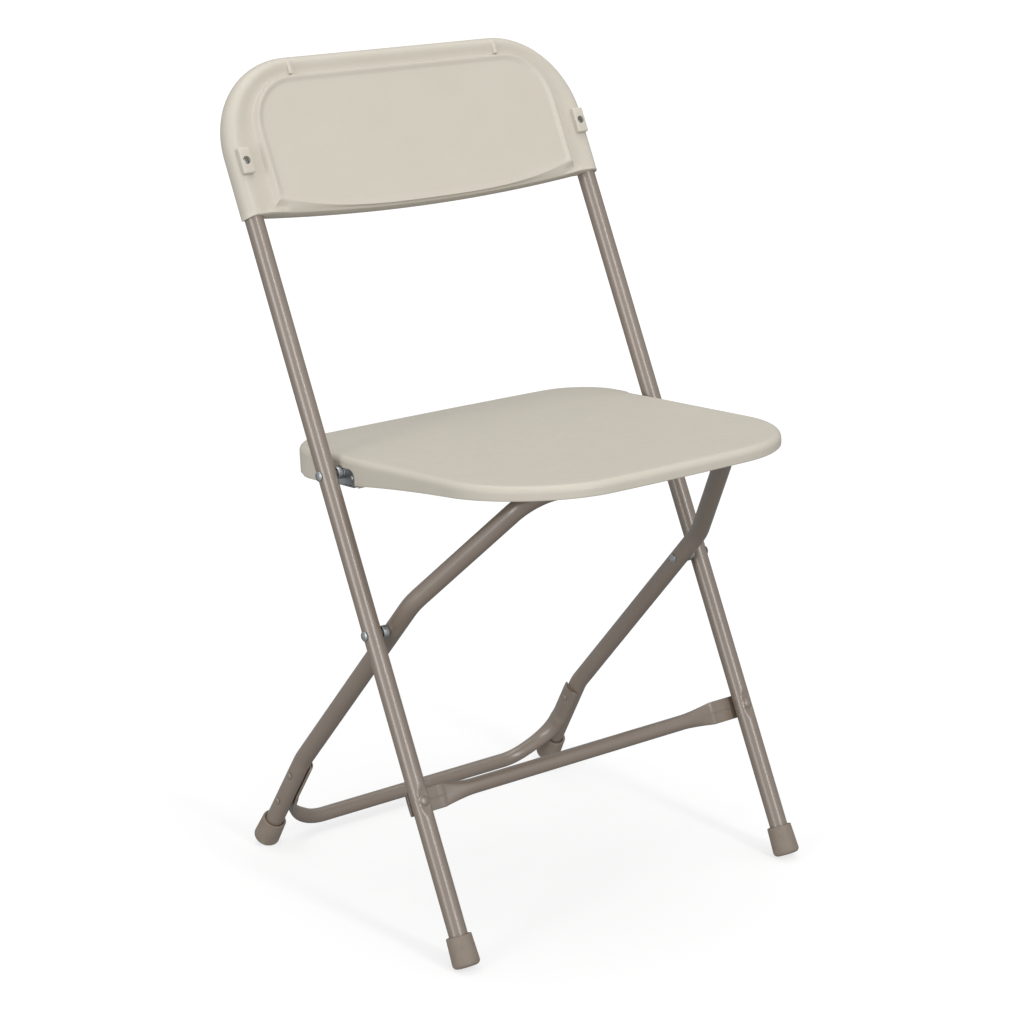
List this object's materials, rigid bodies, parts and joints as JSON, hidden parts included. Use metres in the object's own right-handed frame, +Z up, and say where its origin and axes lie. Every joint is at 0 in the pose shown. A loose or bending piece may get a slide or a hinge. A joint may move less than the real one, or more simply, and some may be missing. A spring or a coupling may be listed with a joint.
{
  "type": "folding chair",
  "caption": "Folding chair with a moulded plastic seat and backrest on a crossed frame of painted steel tube; the seat tips up and the rear legs swing in.",
  "frame": {"origin": "on the floor, under the middle of the open chair's box", "axes": "+Z up, +X to the chair's left-to-right side, -Y towards the front of the seat"},
  "size_m": [0.456, 0.4826, 0.8324],
  "materials": {
    "plastic": "fine matt grain, moulded in warm beige",
    "frame_paint": "satin taupe powder coat",
    "zinc": "zinc plated, slightly dull",
    "cap_rubber": "matt taupe",
    "guide_plastic": "plain matt grey beige"
  },
  "bodies": {
    "front_frame": {"upright_left": "frame_paint", "upright_right": "frame_paint", "front_brace": "frame_paint", "front_brace_rivet_left": "frame_paint", "front_brace_rivet_right": "frame_paint", "front_foot_cap_left": "cap_rubber", "front_foot_cap_right": "cap_rubber", "cross_pivot_rivet_left": "zinc", "cross_pivot_rivet_right": "zinc", "cross_pivot_spacer_left": "zinc", "cross_pivot_spacer_right": "zinc", "seat_pivot_rivet_left": "zinc", "seat_pivot_rivet_right": "zinc", "seat_pivot_washer_left": "zinc", "seat_pivot_washer_right": "zinc", "backrest_shell": "plastic", "backrest_screw_left": "zinc", "backrest_screw_right": "zinc"},
    "rear_frame": {"rear_leg_frame": "frame_paint", "rear_spreader": "frame_paint", "spreader_rivet_left_1": "frame_paint", "spreader_rivet_left_2": "frame_paint", "spreader_rivet_right_1": "frame_paint", "spreader_rivet_right_2": "frame_paint", "rear_foot_cap_left": "cap_rubber", "rear_foot_cap_right": "cap_rubber", "bar_glide_left": "guide_plastic", "bar_glide_right": "guide_plastic"},
    "seat": {"seat_shell": "plastic", "seat_bracket_left": "zinc", "seat_bracket_right": "zinc", "seat_bracket_rivet_left_front": "zinc", "seat_bracket_rivet_left_rear": "zinc", "seat_bracket_rivet_right_front": "zinc", "seat_bracket_rivet_right_rear": "zinc", "seat_guide_left": "guide_plastic", "seat_guide_right": "guide_plastic"}
  },
  "joints": [
    {"name": "rear_fold", "type": "hinge", "parent": "front_frame", "child": "rear_frame", "pos_m": [0, -0.02889, 0.30307], "axis": [-1, 0, 0], "range_deg": [0, 59]},
    {"name": "seat_fold", "type": "hinge", "parent": "front_frame", "child": "seat", "pos_m": [0, 0.04371, 0.449], "axis": [-1, 0, 0], "range_deg": [0, 103]}
  ],
  "couplings": [
    {"joint": "seat_fold", "follows": "rear_fold", "ratio": 1.745}
  ]
}
